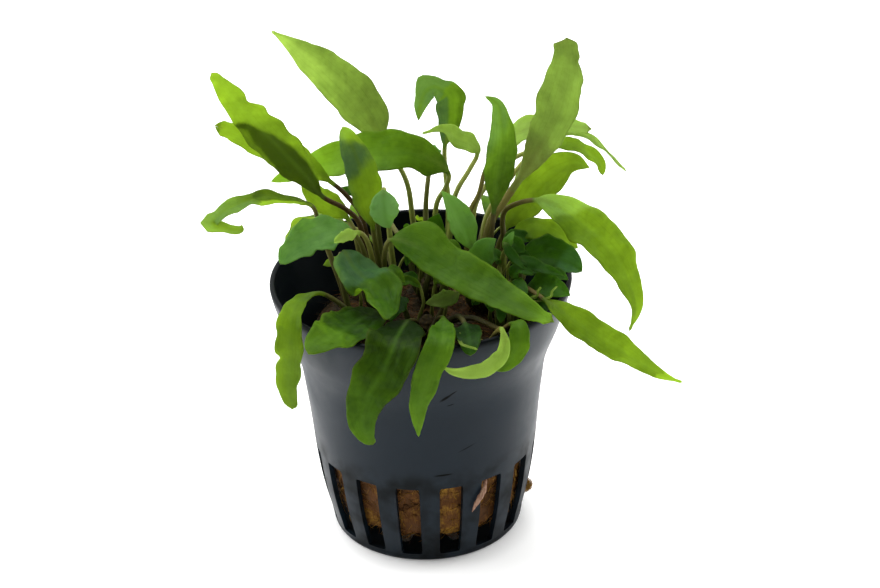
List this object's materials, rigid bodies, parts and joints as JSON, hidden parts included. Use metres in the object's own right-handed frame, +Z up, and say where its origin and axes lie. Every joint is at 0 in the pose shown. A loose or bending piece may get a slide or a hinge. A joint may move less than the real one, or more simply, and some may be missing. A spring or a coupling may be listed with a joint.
{
  "type": "potted aquarium plant",
  "caption": "Aquarium plant with lance-shaped leaves that grow in rosettes from a rock wool plug inside a slotted, tapered growing pot.",
  "frame": {"origin": "centre of the pot's flat underside, on the surface that it stands on", "axes": "+Z up out of the pot; -Y towards the front, the side the picture shows; +X to the right of that view"},
  "size_m": [0.0822, 0.0634, 0.0943],
  "materials": {
    "pot_plastic": "satin moulded polypropylene, dark blue-grey",
    "rock_wool": "wet brown mineral wool, rough and fibrous",
    "crown_skin": "brown-green rootstock",
    "leaf_skin": "thin translucent green leaf, satin",
    "root_skin": "pale root"
  },
  "bodies": {
    "root": {"pot": "pot_plastic", "rock_wool": "rock_wool", "crown_left": "crown_skin", "crown_back": "crown_skin", "crown_rear": "crown_skin", "crown_right": "crown_skin", "crown_far_right": "crown_skin", "crown_front": "crown_skin", "crown_front_left": "crown_skin", "leaf_back_left_tall": "leaf_skin", "leaf_left_long": "leaf_skin", "leaf_left_under": "leaf_skin", "leaf_across": "leaf_skin", "leaf_left_hook": "leaf_skin", "leaf_left_broad": "leaf_skin", "leaf_left_inner": "leaf_skin", "leaf_left_pale": "leaf_skin", "leaf_left_crinkled": "leaf_skin", "leaf_front_left_broad": "leaf_skin", "leaf_left_hanging": "leaf_skin", "leaf_front_big": "leaf_skin", "leaf_front_narrow": "leaf_skin", "leaf_diagonal": "leaf_skin", "leaf_centre_pointed": "leaf_skin", "leaf_back_low": "leaf_skin", "leaf_folded": "leaf_skin", "leaf_middle_hook": "leaf_skin", "leaf_middle_right": "leaf_skin", "leaf_centre_upright": "leaf_skin", "leaf_tall_right": "leaf_skin", "leaf_right_bright": "leaf_skin", "leaf_right_back_curl": "leaf_skin", "leaf_right_back_narrow": "leaf_skin", "leaf_right_drooping": "leaf_skin", "leaf_right_low_long": "leaf_skin", "leaf_right_arching": "leaf_skin", "leaf_far_right_upper": "leaf_skin", "leaf_far_right_lower": "leaf_skin", "leaf_front_curl": "leaf_skin", "leaf_centre_small": "leaf_skin", "leaf_front_inner": "leaf_skin", "leaf_front_right_strap": "leaf_skin", "leaf_centre_left_small": "leaf_skin", "leaf_upright_left": "leaf_skin", "leaf_left_behind": "leaf_skin", "leaf_back_left": "leaf_skin", "leaf_back_far_left": "leaf_skin", "leaf_back_right": "leaf_skin", "leaf_back_far_right": "leaf_skin", "leaf_rear_hanging": "leaf_skin", "leaf_rear_small": "leaf_skin", "leaf_middle_low": "leaf_skin", "leaf_front_shaded": "leaf_skin", "root_in_slot": "root_skin"}
  },
  "joints": []
}
